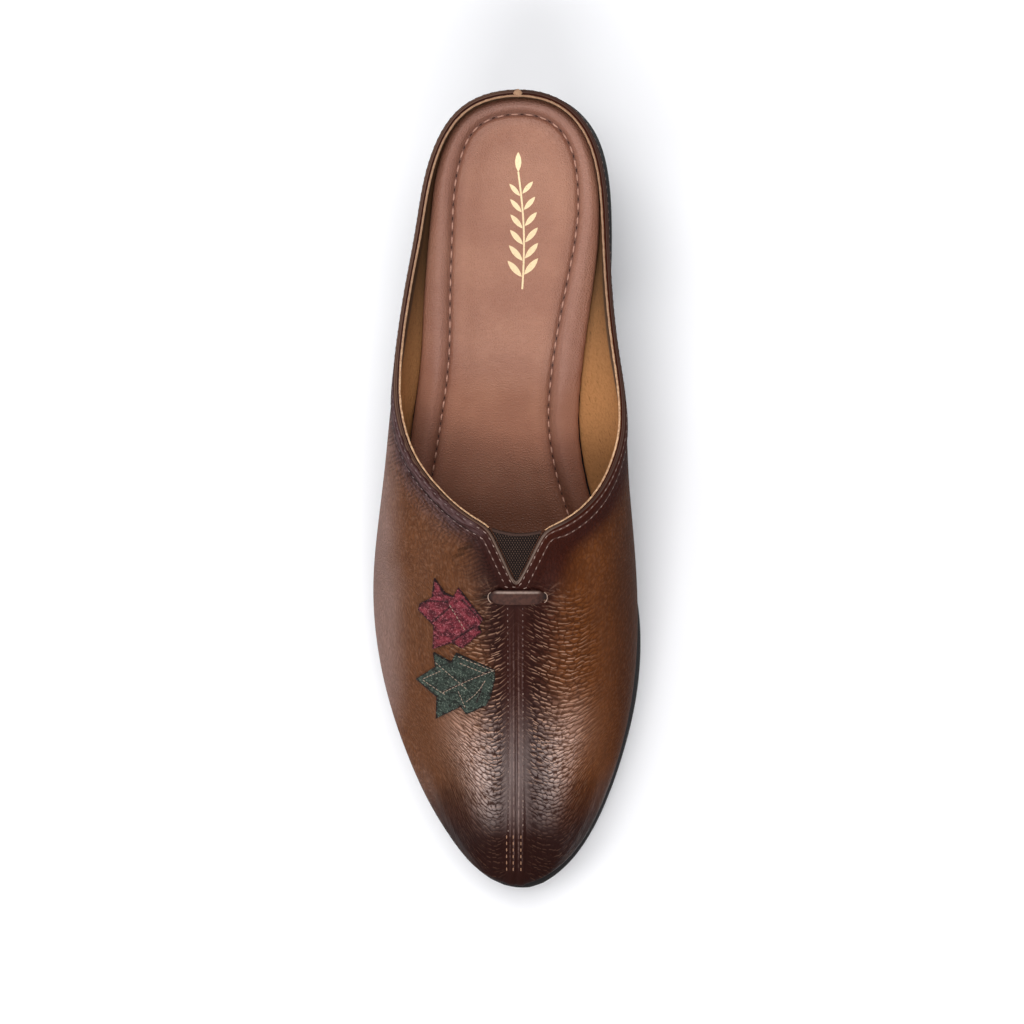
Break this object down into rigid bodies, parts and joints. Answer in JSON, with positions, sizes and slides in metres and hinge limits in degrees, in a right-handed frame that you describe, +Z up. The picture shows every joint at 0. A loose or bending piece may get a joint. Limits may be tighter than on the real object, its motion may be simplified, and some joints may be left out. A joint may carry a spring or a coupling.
{
  "type": "block heel mule",
  "caption": "Women's backless leather mule on a low block heel, almond toe, raised centre seam, elastic gore, leather bar and two suede patches, right foot.",
  "frame": {"origin": "on the floor, under the middle of the shoe's box", "axes": "+Y from toe to heel, +Z up, +X to the inner side, where the big toe is"},
  "size_m": [0.0842, 0.248, 0.0688],
  "materials": {
    "upper_leather": "pebbled, burnished brown leather, glossy",
    "sole_rubber": "matte black rubber",
    "insole_leather": "smooth padded leather",
    "heel_block": "black lacquered block",
    "elastic_webbing": "fine woven elastic",
    "tab_leather": "smooth leather",
    "red_suede": "suede",
    "green_suede": "suede"
  },
  "bodies": {
    "root": {"upper": "upper_leather", "sole": "sole_rubber", "insole": "insole_leather", "heel": "heel_block", "top_piece": "sole_rubber", "elastic": "elastic_webbing", "tab": "tab_leather", "bloom_patch": "red_suede", "leaf_patch": "green_suede"}
  },
  "joints": []
}
